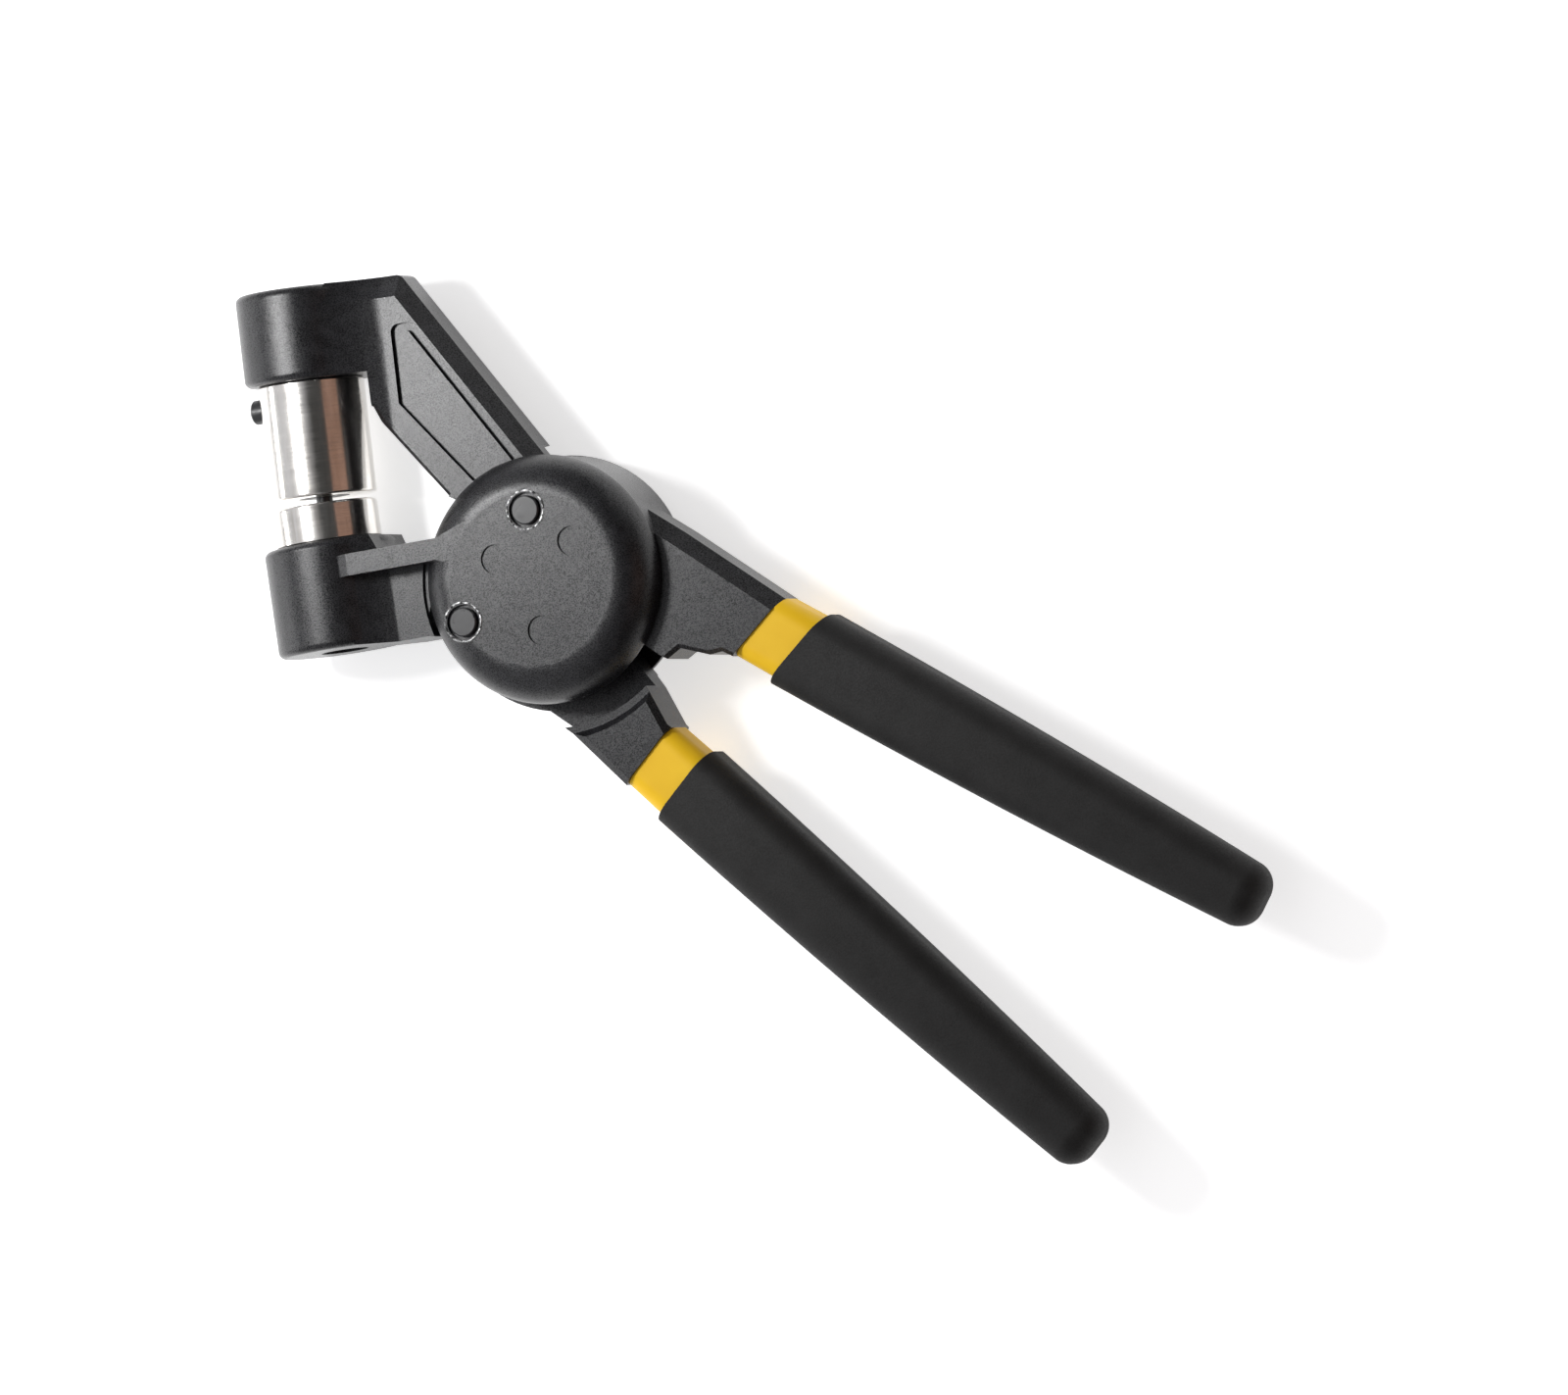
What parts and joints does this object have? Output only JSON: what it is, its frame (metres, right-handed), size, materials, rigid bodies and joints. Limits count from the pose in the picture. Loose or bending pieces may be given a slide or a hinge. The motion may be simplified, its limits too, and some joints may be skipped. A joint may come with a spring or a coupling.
{
  "type": "snap setter pliers",
  "caption": "Hand pliers that set press snaps: a domed hub, a pivoting upper jaw with a setting punch over a chrome anvil, and two long grips.",
  "frame": {"origin": "middle of the whole tool's box at rest, on the plane under the hub's back face", "axes": "+Z towards the front, out of the hub cover; +Y from the lower die to the upper jaw, along the lower die's axis; +X from the dies to the handles"},
  "size_m": [0.1944, 0.191, 0.0267],
  "materials": {
    "casting": "black textured powder coat on a zinc casting",
    "chrome": "satin turned chrome",
    "steel": "ground steel, darkened at the visible ends",
    "black_oxide": "black oxide screws and clips",
    "spring_steel": "oiled spring wire",
    "bronze": "sintered bronze",
    "yellow_vinyl": "yellow dipped vinyl, satin",
    "black_vinyl": "black dipped vinyl, matte with a fine grain"
  },
  "bodies": {
    "frame": {"lower_jaw_frame": "casting", "hub_cover": "casting", "jaw_pivot_pin": "black_oxide", "lever_pivot_pin": "black_oxide", "pin_clips": "black_oxide", "cover_screws": "black_oxide", "return_spring": "spring_steel", "lower_die": "chrome", "lower_die_screw": "black_oxide", "fixed_grip_liner": "yellow_vinyl", "fixed_grip": "black_vinyl"},
    "lever": {"handle_lever": "casting", "lever_bush": "bronze", "drive_pin": "steel", "lever_grip_liner": "yellow_vinyl", "lever_grip": "black_vinyl"},
    "upper_jaw": {"upper_jaw_arm": "casting", "upper_die_holder": "chrome", "holder_screw": "black_oxide", "upper_die": "steel", "die_set_screw": "black_oxide", "jaw_bush": "bronze"},
    "roller": {"drive_roller": "steel"}
  },
  "joints": [
    {"name": "lever_swing", "type": "hinge", "parent": "frame", "child": "lever", "pos_m": [-0.05329, 0.02524, 0.0128], "axis": [0, 0, 1], "range_deg": [-26, 3.6], "stiffness_Nm_per_rad": 0.12, "springref_deg": -40.11},
    {"name": "upper_jaw_swing", "type": "hinge", "parent": "frame", "child": "upper_jaw", "pos_m": [-0.03719, 0.04444, 0.0128], "axis": [0, 0, 1], "range_deg": [-13, 1.8], "deforming": ["return_spring"]},
    {"name": "roller_spin", "type": "hinge", "parent": "lever", "child": "roller", "pos_m": [-0.03699, 0.02314, 0.0128], "axis": [0, 0, 1], "continuous": true}
  ],
  "couplings": [
    {"joint": "upper_jaw_swing", "follows": "lever_swing", "ratio": 0.5}
  ]
}
